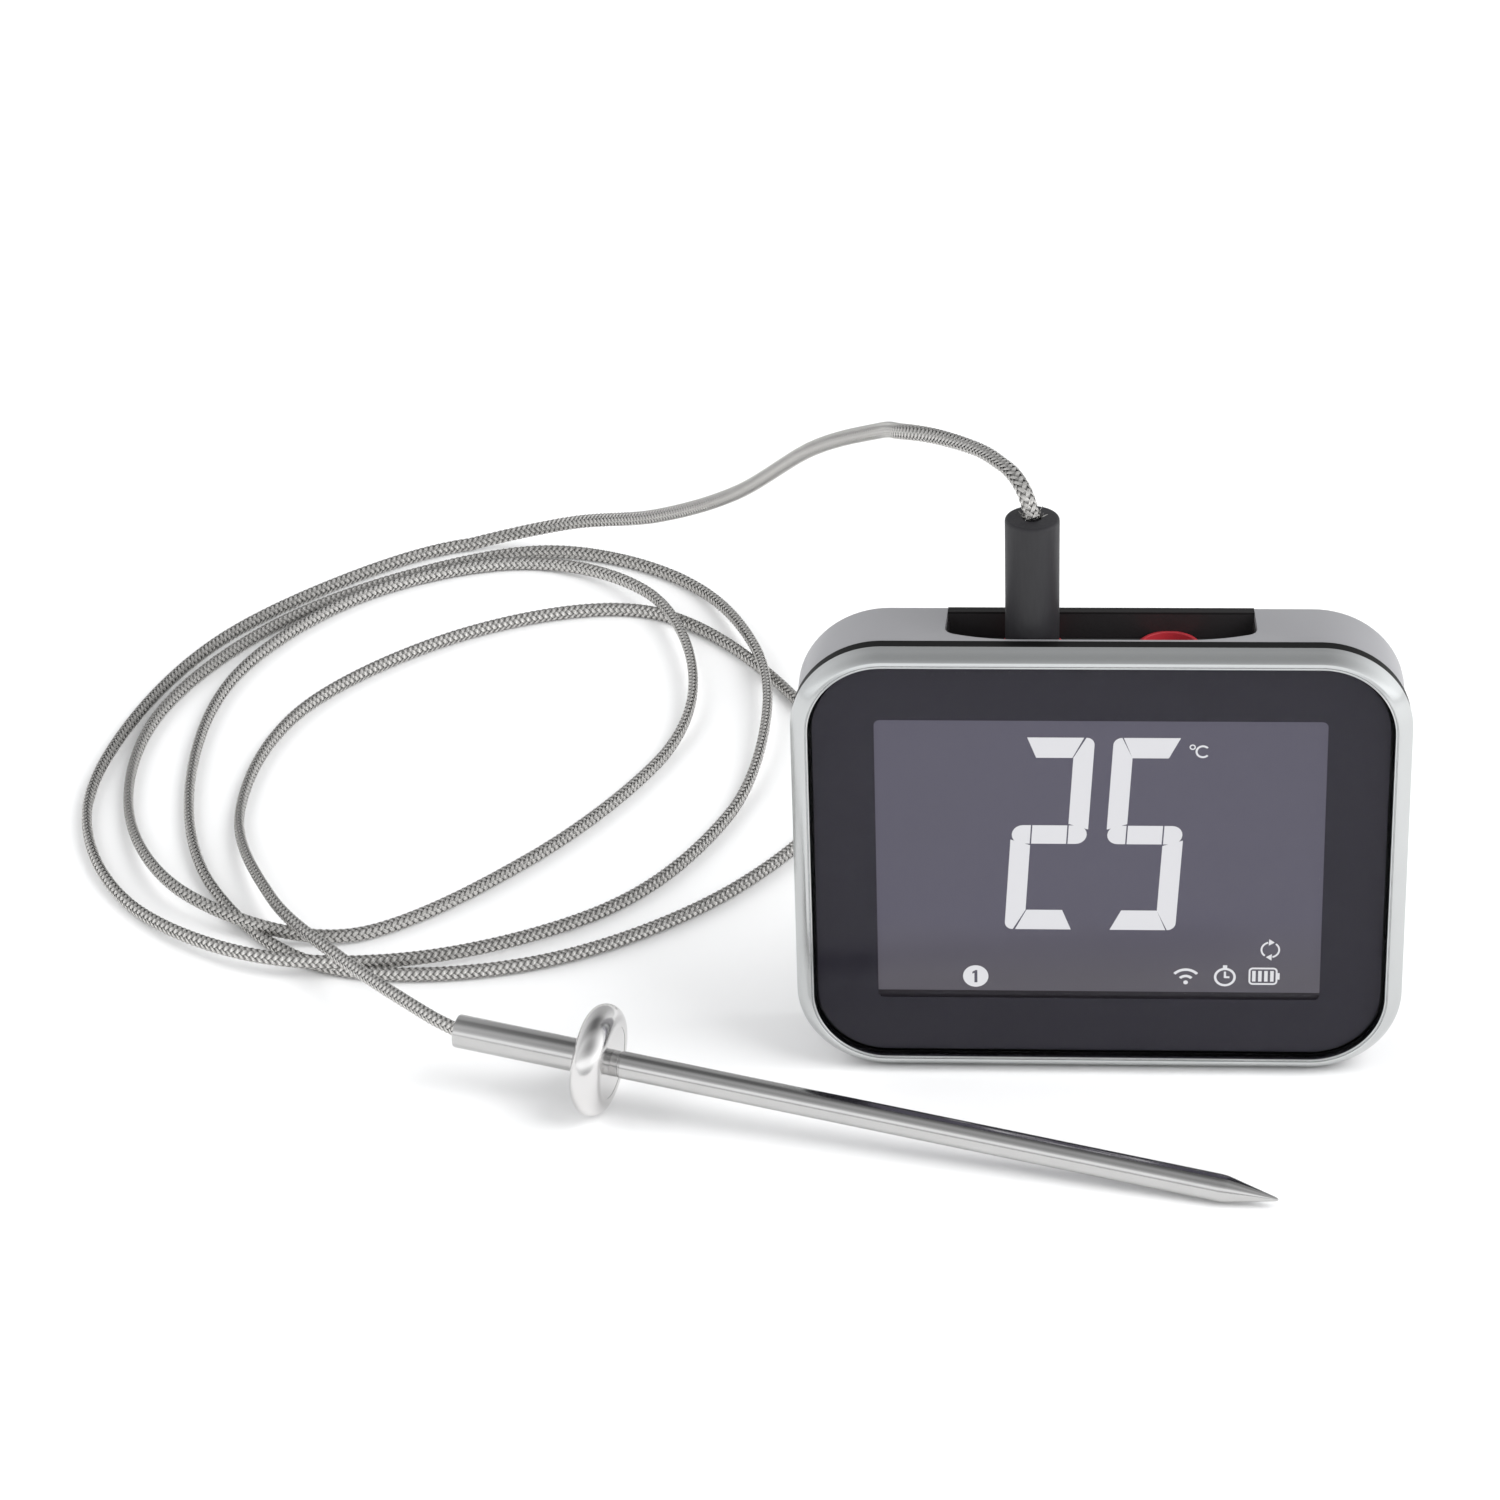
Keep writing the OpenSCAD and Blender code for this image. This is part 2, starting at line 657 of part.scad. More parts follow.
bezel();
front_glass();
glass_border();
touch_film();
lcd_panel();
light_guide();
display_can();
display_carrier();
housing();
rear_cover();
jack_tray();
collar_left();
collar_right();
jack_left();
jack_right();
jack_terminals();
main_board();
wireless_module();
display_ribbon();
battery();
battery_tape();
buzzer();
charge_port();
port_cover();
power_button();
power_switch();
magnets();
rear_screws();
board_screws();
stand();
stand_pin();
foot_strip();
plug_grip();
plug_sleeve();
plug_ring();
plug_tip();
cable_lead();
cable_loops();
probe_sleeve();
probe_disc();
probe_needle();
sensor_bead();
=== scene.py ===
"""Looks of a meat thermometer: a glass-fronted display unit, a braided steel lead and a roasting probe."""
from math import cos, pi, radians, sin, tau

import bmesh
import bpy
import numpy as np
from mathutils import Matrix, Vector


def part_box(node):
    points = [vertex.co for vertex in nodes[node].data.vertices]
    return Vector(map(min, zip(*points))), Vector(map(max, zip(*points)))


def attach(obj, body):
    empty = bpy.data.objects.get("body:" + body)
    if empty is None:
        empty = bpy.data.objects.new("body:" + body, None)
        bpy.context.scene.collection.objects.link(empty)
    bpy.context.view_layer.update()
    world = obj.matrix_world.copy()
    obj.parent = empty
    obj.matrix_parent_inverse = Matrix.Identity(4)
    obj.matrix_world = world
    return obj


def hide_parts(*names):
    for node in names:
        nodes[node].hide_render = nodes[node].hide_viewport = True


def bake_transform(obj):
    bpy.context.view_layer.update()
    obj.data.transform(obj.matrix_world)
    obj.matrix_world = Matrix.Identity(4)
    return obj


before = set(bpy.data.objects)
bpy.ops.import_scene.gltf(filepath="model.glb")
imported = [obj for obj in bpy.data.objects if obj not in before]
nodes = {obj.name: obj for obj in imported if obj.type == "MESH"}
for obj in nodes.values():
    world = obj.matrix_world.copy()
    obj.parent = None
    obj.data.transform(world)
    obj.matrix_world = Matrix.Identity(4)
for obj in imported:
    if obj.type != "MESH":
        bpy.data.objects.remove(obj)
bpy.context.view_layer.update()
MM = 0.001
bezel_corner = 15 * MM
glass_corner = 11.95 * MM


# ---------- node trees: sums as expressions, and one way to add any other node ----------


class Wire:
    """An output socket in a node tree, with the operators that the trees below use."""

    def __init__(self, tree, socket):
        self.tree, self.socket = tree, socket

    def sum_of(self, operation, first, second=0.0):
        return node(self.tree, "ShaderNodeMath", {"operation": operation}, {0: first, 1: second})[0]

    def __add__(self, other):
        return self.sum_of("ADD", self, other)

    def __radd__(self, other):
        return self.sum_of("ADD", other, self)

    def __sub__(self, other):
        return self.sum_of("SUBTRACT", self, other)

    def __rsub__(self, other):
        return self.sum_of("SUBTRACT", other, self)

    def __mul__(self, other):
        return self.sum_of("MULTIPLY", self, other)

    def __rmul__(self, other):
        return self.sum_of("MULTIPLY", other, self)

    def __truediv__(self, other):
        return self.sum_of("DIVIDE", self, other)

    def __mod__(self, other):
        return self.sum_of("FLOORED_MODULO", self, other)

    def floor(self):
        return self.sum_of("FLOOR", self)

    def cosine(self):
        return self.sum_of("COSINE", self)

    def sine(self):
        return self.sum_of("SINE", self)


class Outputs:
    """The outputs of a node that was added, by name or number."""

    def __init__(self, tree, made):
        self.tree, self.made = tree, made

    def __getitem__(self, key):
        return Wire(self.tree, self.made.outputs[key])


def node(tree, kind, settings=None, inputs=None):
    """Adds a node: first its settings (stops are a colour ramp's), then values or wires for its inputs."""
    made = tree.nodes.new(kind)
    for name, value in (settings or {}).items():
        if name == "stops":
            ramp = made.color_ramp.elements
            while len(ramp) < len(value):
                ramp.new(0.5)
            for element, (at, colour) in zip(ramp, value):
                element.position, element.color = at, colour
        else:
            setattr(made, name, value)
    for key, value in (inputs or {}).items():
        if isinstance(value, Wire):
            tree.links.new(value.socket, made.inputs[key])
        else:
            made.inputs[key].default_value = value
    return Outputs(tree, made)


# ---------- materials ----------

# specular level of what lies against the glass, whose reflection it carries
UNDER_GLASS = 0.22


def surface(name, base, rough, metal=0.0, coat=0.0, **extra):
    """A material with one Principled shader. Returns the material, its tree and that shader."""
    material = bpy.data.materials.new(name)
    material.use_nodes = True
    tree = material.node_tree
    tree.nodes.clear()
    shader = tree.nodes.new("ShaderNodeBsdfPrincipled")
    out = tree.nodes.new("ShaderNodeOutputMaterial")
    tree.links.new(shader.outputs[0], out.inputs[0])
    shader.inputs["Base Color"].default_value = (*base, 1)
    shader.inputs["Roughness"].default_value = rough
    shader.inputs["Metallic"].default_value = metal
    shader.inputs["Coat Weight"].default_value = coat
    for socket, value in extra.items():
        shader.inputs[socket.replace("_", " ")].default_value = value
    return material, tree, shader


def place(tree, stretch=(1, 1, 1)):
    """Object coordinates, stretched to give a pattern its direction."""
    where = node(tree, "ShaderNodeTexCoord")["Object"]
    return node(tree, "ShaderNodeMapping", {}, {"Vector": where, "Scale": stretch})[0]


def noise(tree, where, per_metre, detail=3.0):
    return node(tree, "ShaderNodeTexNoise", {}, {"Vector": where, "Scale": per_metre, "Detail": detail})[0]


def plug_in(tree, wire, shader, socket):
    tree.links.new(wire.socket, shader.inputs[socket])


def tint(tree, mask, low, high):
    """A colour between low and high, by a mask from 0 to 1."""
    return node(tree, "ShaderNodeMix", {"data_type": "RGBA"}, {0: mask, 6: (*low, 1), 7: (*high, 1)})[2]


def relief(tree, height, depth, strength=1.0):
    return node(tree, "ShaderNodeBump", {}, {"Height": height, "Distance": depth, "Strength": strength})[0]


def grained(name, base, rough, grain=1400.0, depth=0.00004, spread=0.12, stretch=(1, 1, 1), **more):
    """A finish whose colour and gloss drift a little, with a fine grain in relief."""
    material, tree, shader = surface(name, base, rough, **more)
    where = place(tree, stretch)
    drift = noise(tree, where, 60.0)
    fine = noise(tree, where, grain, 2.0)
    dark = [c * (1 - spread) for c in base]
    light = [min(1.0, c * (1 + spread)) for c in base]
    plug_in(tree, tint(tree, drift, dark, light), shader, "Base Color")
    plug_in(tree, rough * (1 - spread) + fine * (2 * rough * spread), shader, "Roughness")
    plug_in(tree, relief(tree, fine, depth), shader, "Normal")
    return material


def braid_steel():
    """Steel wires side by side in each strip of the braid, with a painted highlight down each wire's middle,
    and rougher, with painted shade near black, where one strip dives under another.
    """
    material, tree, shader = surface("steel_braid", (0.7, 0.69, 0.67), 0.3, metal=1.0)
    across = node(tree, "ShaderNodeAttribute", {"attribute_name": "across"})["Fac"]
    height = node(tree, "ShaderNodeAttribute", {"attribute_name": "height"})["Fac"]
    wires = (across * (tau * 4)).cosine() * 0.5 + 0.5
    # painted light: the colour is painted near black as shade where a strip dives under another, and
    # brighter as a highlight down each wire's middle
    bright = height * height * 0.85 + wires * 0.15
    plug_in(tree, tint(tree, bright, (0.03, 0.028, 0.026), (0.95, 0.93, 0.9)), shader, "Base Color")
    plug_in(tree, 0.44 - 0.22 * height, shader, "Roughness")
    plug_in(tree, relief(tree, wires, 0.00004), shader, "Normal")
    return material


def clear_glass():
    """Clear glass: the room's reflection at a steep view comes from what lies against its rear face."""
    material = bpy.data.materials.new("clear_glass")
    material.use_nodes = True
    tree = material.node_tree
    tree.nodes.clear()
    mirror = node(tree, "ShaderNodeBsdfAnisotropic", {}, {"Color": (1, 1, 1, 1), "Roughness": 0.1})[0]
    through = node(tree, "ShaderNodeBsdfTransparent", {}, {"Color": (0.96, 0.96, 0.97, 1)})[0]
    share = node(tree, "ShaderNodeFresnel", {}, {"IOR": 1.02})[0]
    both = node(tree, "ShaderNodeMixShader", {}, {0: share, 1: through, 2: mirror})[0]
    node(tree, "ShaderNodeOutputMaterial", {}, {0: both})
    return material


def lit(name, colour, strength=1.0):
    """Part of the display: dark plastic that glows in its own colour."""
    material, tree, shader = surface(name, (0.01, 0.01, 0.012), 0.16, Specular_IOR_Level=UNDER_GLASS)
    shader.inputs["Emission Color"].default_value = (*colour, 1)
    shader.inputs["Emission Strength"].default_value = strength
    return material


def lcd_field():
    """The display's ground: blue grey, with a faint cloudiness and a neutral foot."""
    material, tree, shader = surface("lcd_field", (0.01, 0.01, 0.012), 0.16, Specular_IOR_Level=UNDER_GLASS)
    where = node(tree, "ShaderNodeTexCoord")["Object"]
    height = node(tree, "ShaderNodeSeparateXYZ", {}, {0: where})["Z"]
    foot = node(tree, "ShaderNodeMapRange", {"clamp": True}, {0: height, 1: 0.018, 2: 0.03})[0]
    cloud = noise(tree, place(tree), 45.0)
    colour = tint(tree, foot * 0.85 + cloud * 0.3, (0.104, 0.097, 0.109), (0.105, 0.099, 0.131))
    plug_in(tree, colour, shader, "Emission Color")
    shader.inputs["Emission Strength"].default_value = 1.0
    return material


def make_materials():
    return {
        "ring": grained("polished_ring", (0.55, 0.56, 0.56), 0.22, 2600, 0.0000005, 0.04, metal=1.0),
        "glass": clear_glass(),
        "print": grained(
            "black_print", (0.024, 0.0225, 0.0295), 0.16, 900, 0, 0.06, Specular_IOR_Level=UNDER_GLASS
        ),
        "housing": grained("grey_housing", (0.34, 0.338, 0.352), 0.4, 5200, 0.000012, 0.06, metal=0.35),
        "black": grained("black_plastic", (0.024, 0.022, 0.023), 0.45, 3000, 0.00002),
        # gap: near black, darker than the black plastic: painted shade for the seam round the display and
        # for the jacks' holes
        "gap": grained("dark_plastic_and_painted_shade", (0.004, 0.004, 0.004), 0.5, 3000, 0.00001, Specular_IOR_Level=0.12),
        # lip: darker than the black plastic, painted shade so the lit top of the pocket's rear wall stays
        # dark
        "lip": grained("lip_painted_shade", (0.014, 0.013, 0.0135), 0.5, 3000, 0.00001, Specular_IOR_Level=0.15),
        "red": grained("red_collar", (0.44, 0.03, 0.042), 0.33, 2500, 0.000012, coat=0.3),
        "rubber": grained("plug_rubber", (0.0145, 0.014, 0.0165), 0.55, 2400, 0.00002, 0.16, (1, 1, 0.12)),
        "soft": grained("soft_rubber", (0.022, 0.022, 0.024), 0.62, 3600, 0.00003),
        "nickel": grained("plug_metal", (0.74, 0.73, 0.7), 0.2, 1500, 0.000004, 0.05, metal=1.0),
        "braid": braid_steel(),
        "turned": grained(
            "probe_steel", (0.53, 0.525, 0.52), 0.17, 1800, 0.000001, 0.08, (1, 9, 9), metal=1.0
        ),
        "disc": grained("disc_steel", (0.68, 0.67, 0.665), 0.16, 700, 0.000001, 0.06, metal=1.0),
        "zinc": grained("screw_steel", (0.5, 0.5, 0.5), 0.35, 1800, 0.00001, metal=1.0),
        "tin": grained("tinned_steel", (0.62, 0.62, 0.63), 0.3, 900, 0.00001, metal=1.0),
        "gold": grained("gold_plate", (0.85, 0.6, 0.25), 0.25, 900, 0.000005, metal=1.0),
        "board": grained("circuit_board", (0.01, 0.09, 0.035), 0.4, 700, 0.00002, 0.3, coat=0.4),
        "foil": grained("battery_foil", (0.55, 0.56, 0.58), 0.38, 260, 0.00008, metal=0.8),
        "tape": grained("white_tape", (0.8, 0.8, 0.78), 0.7, 1800, 0.00003),
        "amber": grained("amber_film", (0.5, 0.2, 0.03), 0.35, 900, 0.00001),
        "milk": grained("light_guide", (0.85, 0.86, 0.87), 0.25, 900, 0.00001, 0.03),
        "bead": grained("bead", (0.3, 0.16, 0.09), 0.3, 900, 0.00002),
        "field": lcd_field(),
        "foot": lit("lcd_foot", (0.012, 0.01, 0.012)),
        "mark": lit("lcd_mark", (0.8, 0.8, 0.81)),
        "unlit": lit("lcd_unlit", (0.1, 0.095, 0.12)),
    }


# ---------- shapes ----------


def made_object(name, points, faces, sharp=32, outward=True):
    """A mesh object from points and faces, smooth except over edges sharper than an angle in degrees."""
    mesh = bpy.data.meshes.new(name)
    mesh.from_pydata([tuple(map(float, p)) for p in points], [], faces)
    piece = bpy.data.objects.new(name, mesh)
    bpy.context.scene.collection.objects.link(piece)
    tidy(piece, sharp, outward)
    return piece


def tidy(piece, sharp=32, outward=True):
    """Turns faces outwards, and shades the mesh smooth with its sharp edges marked."""
    work = bmesh.new()
    work.from_mesh(piece.data)
    if outward:
        bmesh.ops.recalc_face_normals(work, faces=work.faces)
    for face in work.faces:
        face.smooth = True
    for edge in work.edges:
        edge.smooth = edge.calc_face_angle(0.0) < radians(sharp)
    work.to_mesh(piece.data)
    work.free()


def loft(name, loops, wrap=False, sharp=32):
    """Skins loops of the same number of points. The last joins the first, or both ends are capped."""
    n = len(loops[0])
    points = [p for loop in loops for p in loop]
    spans = range(len(loops)) if wrap else range(len(loops) - 1)
    faces = []
    for j in spans:
        a, b = j * n, (j + 1) % len(loops) * n
        faces += [(a + k, a + (k + 1) % n, b + (k + 1) % n, b + k) for k in range(n)]
    if not wrap:
        faces += [tuple(range(n)), tuple(range(len(points) - n, len(points)))]
    return made_object(name, points, faces, sharp)


def outline(low, high, corner, y, out=0.0, steps=22):
    """A loop around an upright rectangle with round corners, grown all round by out."""
    loop = []
    for i in range(4):
        x = high.x - corner if i in (0, 3) else low.x + corner
        z = high.z - corner if i < 2 else low.z + corner
        for k in range(steps + 1):
            a = pi / 2 * (i + k / steps)
            loop.append((x + (corner + out) * cos(a), y, z + (corner + out) * sin(a)))
    return loop


def bend(x, y, r, start, end, steps=6):
    """Points of an arc about (x, y) between two angles in degrees."""
    turns = [radians(start + (end - start) * i / steps) for i in range(steps + 1)]
    return [(x + r * cos(a), y + r * sin(a)) for a in turns]


def turned(name, profile, at, way, steps=72, sharp=32):
    """A shape turned about the line from at along way, from a profile of (radius, distance)."""
    turn = Vector(way).to_track_quat("Z", "Y").to_matrix()
    angles = [tau * k / steps for k in range(steps)]
    loops = [[Vector(at) + turn @ Vector((r * cos(a), r * sin(a), z)) for a in angles] for r, z in profile]
    return loft(name, loops, sharp=sharp)


def refined(name, cad_node, edge=0.12 * MM, sharp=30):
    """A copy of a CAD part with its triangles merged, its flats made whole and its edges broken."""
    mesh = nodes[cad_node].data.copy()
    mesh.materials.clear()
    piece = bpy.data.objects.new(name, mesh)
    bpy.context.scene.collection.objects.link(piece)
    work = bmesh.new()
    work.from_mesh(mesh)
    bmesh.ops.remove_doubles(work, verts=work.verts, dist=0.002 * MM)
    bmesh.ops.dissolve_limit(work, angle_limit=radians(0.4), verts=work.verts, edges=work.edges)
    work.to_mesh(mesh)
    work.free()
    tidy(piece, sharp)
    if edge:
        bevel = piece.modifiers.new("edge", "BEVEL")
        bevel.width, bevel.segments, bevel.limit_method = edge, 2, "ANGLE"
        bevel.angle_limit = radians(sharp)
        piece = baked(piece)
        tidy(piece, 50, False)
    return piece


def baked(source):
    """The object with its modifiers made part of a plain mesh."""
    graph = bpy.context.evaluated_depsgraph_get()
    mesh = bpy.data.meshes.new_from_object(source.evaluated_get(graph))
    name = source.name
    bpy.data.objects.remove(source)
    piece = bpy.data.objects.new(name, mesh)
    bpy.context.scene.collection.objects.link(piece)
    return piece


def joined(name, pieces):
    """Several mesh objects as one."""
    work = bmesh.new()
    for piece in pieces:
        work.from_mesh(piece.data)
    mesh = bpy.data.meshes.new(name)
    work.to_mesh(mesh)
    work.free()
    for piece in pieces:
        bpy.data.objects.remove(piece)
    whole = bpy.data.objects.new(name, mesh)
    bpy.context.scene.collection.objects.link(whole)
    return whole


def finish_piece(piece, material, body, slot, *replaced):
    """Gives a piece its material and its body, and hides the CAD nodes that it stands for; slot is not used.
    """
    piece.data.materials.clear()
    piece.data.materials.append(material)
    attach(piece, body)
    if replaced:
        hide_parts(*replaced)
    return piece


# ---------- geometry nodes ----------


def new_tree(name, sizes):
    """An empty geometry tree with named inputs, and the node that gives them."""
    tree = bpy.data.node_groups.new(name, "GeometryNodeTree")
    tree.interface.new_socket("Geometry", in_out="INPUT", socket_type="NodeSocketGeometry")
    tree.interface.new_socket("Geometry", in_out="OUTPUT", socket_type="NodeSocketGeometry")
    for size, kind in sizes.items():
        tree.interface.new_socket(size, in_out="INPUT", socket_type="NodeSocket" + kind)
    return tree, node(tree, "NodeGroupInput")


def close_tree(tree, geometry, material):
    """Ends a tree: instances made real, then the material."""
    real = node(tree, "GeometryNodeRealizeInstances", {}, {0: geometry})[0]
    done = node(tree, "GeometryNodeSetMaterial", {}, {0: real, "Material": material})[0]
    node(tree, "NodeGroupOutput", {}, {0: done})


def grown(name, source, tree, values):
    """Runs a tree on a source object and returns the plain mesh that it gives."""
    source.name = name
    modifier = source.modifiers.new("grow", "NODES")
    modifier.node_group = tree
    for item in tree.interface.items_tree:
        if item.in_out == "INPUT" and item.name in values:
            modifier[item.identifier] = values[item.name]
    return baked(source)


def braid_tree():
    """Strips woven two over two round an oval core that follows a route."""
    tree, given = new_tree("braid", {
        "Half width": "Float", "Half thickness": "Float", "Lay": "Float", "Strips each way": "Int",
        "Strip turn": "Float", "Weave height": "Float", "Crown": "Float", "Samples": "Int",
        "Core samples": "Int", "Material": "Material",
    })
    route = node(tree, "GeometryNodeMeshToCurve", {}, {0: given["Geometry"]})[0]
    length = node(tree, "GeometryNodeCurveLength", {}, {0: route})[0]
    wide_way = node(tree, "GeometryNodeInputNamedAttribute", {"data_type": "FLOAT_VECTOR"},
                    {"Name": "wide_way"})[0]
    where = node(tree, "ShaderNodeSeparateXYZ", {}, {0: node(tree, "GeometryNodeInputPosition")[0]})

    def on_route(share, wide, thin):
        """The point at a share of the route, moved by wide and thin across the lead."""
        sample = node(tree, "GeometryNodeSampleCurve", {"data_type": "FLOAT_VECTOR", "mode": "FACTOR"},
                      {"Curves": route, "Value": wide_way, "Factor": share})
        side = node(tree, "ShaderNodeVectorMath", {"operation": "CROSS_PRODUCT"},
                    {0: sample["Tangent"], 1: sample["Value"]})[0]
        moved = node(tree, "ShaderNodeVectorMath", {"operation": "MULTIPLY_ADD"},
                     {0: sample["Value"], 1: wide, 2: sample["Position"]})[0]
        return node(tree, "ShaderNodeVectorMath", {"operation": "MULTIPLY_ADD"},
                    {0: side, 1: thin, 2: moved})[0]

    # the strips: one flat grid, three points across, repeated for each strip
    flat = node(tree, "GeometryNodeMeshGrid", {}, {0: 1.0, 1: 1.0, 2: 3, 3: given["Samples"]})[0]
    copies = node(tree, "GeometryNodeDuplicateElements", {"domain": "INSTANCE"},
                  {0: node(tree, "GeometryNodeGeometryToInstance", {}, {0: flat})[0],
                   "Amount": given["Strips each way"] * 2})
    numbered = node(tree, "GeometryNodeStoreNamedAttribute", {"data_type": "FLOAT", "domain": "INSTANCE"},
                    {0: copies["Geometry"], "Name": "strip", "Value": copies["Duplicate Index"]})[0]
    strips = node(tree, "GeometryNodeRealizeInstances", {}, {0: numbered})[0]
    strip = node(tree, "GeometryNodeInputNamedAttribute", {"data_type": "FLOAT"}, {"Name": "strip"})[0]
    each = given["Strips each way"]
    hand = 1 - (strip / each).floor() * 2
    place_in_set = strip % each
    across, share = where["X"], where["Y"] + 0.5
    advance = share * length / given["Lay"]
    angle = hand * advance * tau + place_in_set / each * tau + across * given["Strip turn"]
    crossing = hand * advance * 2 * each + place_in_set * 2 - 0.5
    over = hand * (crossing * (pi / 2)).cosine()
    lift = over * given["Weave height"] + given["Crown"] * (1 - across * across * 4)
    target = on_route(share, angle.cosine() * (given["Half width"] + lift),
                      angle.sine() * (given["Half thickness"] + lift))
    marked = strips
    for name, value in (("across", across), ("height", over * 0.42 + 0.58)):
        marked = node(tree, "GeometryNodeStoreNamedAttribute", {"data_type": "FLOAT", "domain": "POINT"},
                      {0: marked, "Name": name, "Value": value})[0]
    woven = node(tree, "GeometryNodeSetPosition", {}, {0: marked, "Position": target})[0]
    # the core: a closed tube just under them
    tube = node(tree, "GeometryNodeMeshCylinder", {"fill_type": "NGON"},
                {"Vertices": 12, "Side Segments": given["Core samples"], "Radius": 1.0, "Depth": 1.0})[0]
    under = given["Weave height"] * 0.6
    core_at = on_route(where["Z"] + 0.5, where["X"] * (given["Half width"] - under),
                       where["Y"] * (given["Half thickness"] - under))
    core = node(tree, "GeometryNodeSetPosition", {}, {0: tube, "Position": core_at})[0]
    both = node(tree, "GeometryNodeJoinGeometry", {}, {0: woven})
    tree.links.new(core.socket, both.made.inputs[0])
    smooth = node(tree, "GeometryNodeSetShadeSmooth", {}, {0: both[0]})[0]
    close_tree(tree, smooth, given["Material"])
    return tree


def row_tree():
    """A shape repeated along a straight line."""
    tree, given = new_tree("row", {"Count": "Int", "Step": "Vector", "Material": "Material"})
    line = node(tree, "GeometryNodeMeshLine", {}, {"Count": given["Count"], "Offset": given["Step"]})[0]
    row = node(tree, "GeometryNodeInstanceOnPoints", {}, {"Points": line, "Instance": given["Geometry"]})[0]
    close_tree(tree, row, given["Material"])
    return tree


# ---------- camera, floor and light ----------


def add_camera():
    camera = bpy.data.objects.new("camera", bpy.data.cameras.new("camera"))
    camera.data.lens, camera.data.sensor_width = 117.3, 36
    turn_left, look_down, roll = radians(4.47), radians(30.23), radians(-1.95)
    camera.matrix_world = (
        Matrix.Translation((-3.26 * MM, -688.86 * MM, 459.9 * MM))
        @ Matrix.Rotation(turn_left, 4, "Z")
        @ Matrix.Rotation(pi / 2 - look_down, 4, "X")
        @ Matrix.Rotation(roll, 4, "Z")
    )
    bpy.context.scene.collection.objects.link(camera)
    bpy.context.scene.camera = camera


def add_lamp(name, at, size, watts, aim=(-0.02, 0.04, 0.04)):
    lamp = bpy.data.objects.new(name, bpy.data.lights.new(name, "AREA"))
    lamp.data.shape, lamp.data.size, lamp.data.size_y = "RECTANGLE", size[0], size[1]
    lamp.data.energy = watts
    lamp.location = at
    lamp.rotation_euler = (Vector(aim) - Vector(at)).to_track_quat("-Z", "Y").to_euler()
    # a lamp lights the object, and only the sky is mirrored in it
    lamp.visible_glossy = False
    bpy.context.scene.collection.objects.link(lamp)


# brightness of the room over the object, by the angle in degrees from the front round to the rear
SKY_PEAK = 1.5
SKY = [
    (0, 0.5), (9, 0.7), (17, 1.4), (29, 1.4), (40, 0.65), (54, 0.4), (66, 0.45), (77, 0.55), (88, 0.4),
    (100, 0.17), (122, 0.17), (137, 0.45), (150, 0.52), (180, 0.55),
]


def add_studio():
    """A pale floor under a grey sky that brightens to the sides, and two large soft lamps."""
    world = bpy.data.worlds.new("studio")
    world.use_nodes = True
    tree = world.node_tree
    tree.nodes.clear()
    way = node(tree, "ShaderNodeSeparateXYZ", {}, {0: node(tree, "ShaderNodeTexCoord")["Generated"]})
    side = way["X"]
    round_over = way["Z"].sum_of("ARCTAN2", way["Z"], 0 - way["Y"]) / pi
    stops = [(at / 180, (level / SKY_PEAK,) * 3 + (1,)) for at, level in SKY]
    panels = node(tree, "ShaderNodeValToRGB", {"stops": stops}, {0: round_over})[0]
    bright = panels * (1 - side * side * 0.6) * SKY_PEAK + side * side * (1.15 + side * 0.3)
    sky = node(tree, "ShaderNodeBackground", {}, {"Color": (0.98, 0.99, 1, 1), "Strength": bright})[0]
    node(tree, "ShaderNodeOutputWorld", {}, {0: sky})
    bpy.context.scene.world = world
    bpy.context.scene.view_settings.view_transform = "Standard"
    half = 20
    corners = [(-half, -half, 0), (half, -half, 0), (half, half, 0), (-half, half, 0)]
    floor = made_object("floor", corners, [(0, 1, 2, 3)], outward=False)
    floor.data.materials.append(surface("floor", (0.95, 0.95, 0.95), 0.8)[0])
    add_lamp("key", (0.8, -0.3, 0.95), (0.9, 0.9), 12)
    add_lamp("fill", (-1.2, 0.2, 0.9), (1.7, 1.4), 11)


# ---------- the lead ----------

# How the probe lies: its disc's middle, its heading across the table and its dip down to it
disc_at = Vector((-82.4, -20, 9.47)) * MM
probe_heading = radians(-13.5)
probe_dip = radians(3.86)
probe_way = Vector((
    cos(probe_heading) * cos(probe_dip), sin(probe_heading) * cos(probe_dip), -sin(probe_dip)
))
disc_t = 5.3 * MM
sleeve_l = 22.25 * MM
needle_l = 112 * MM

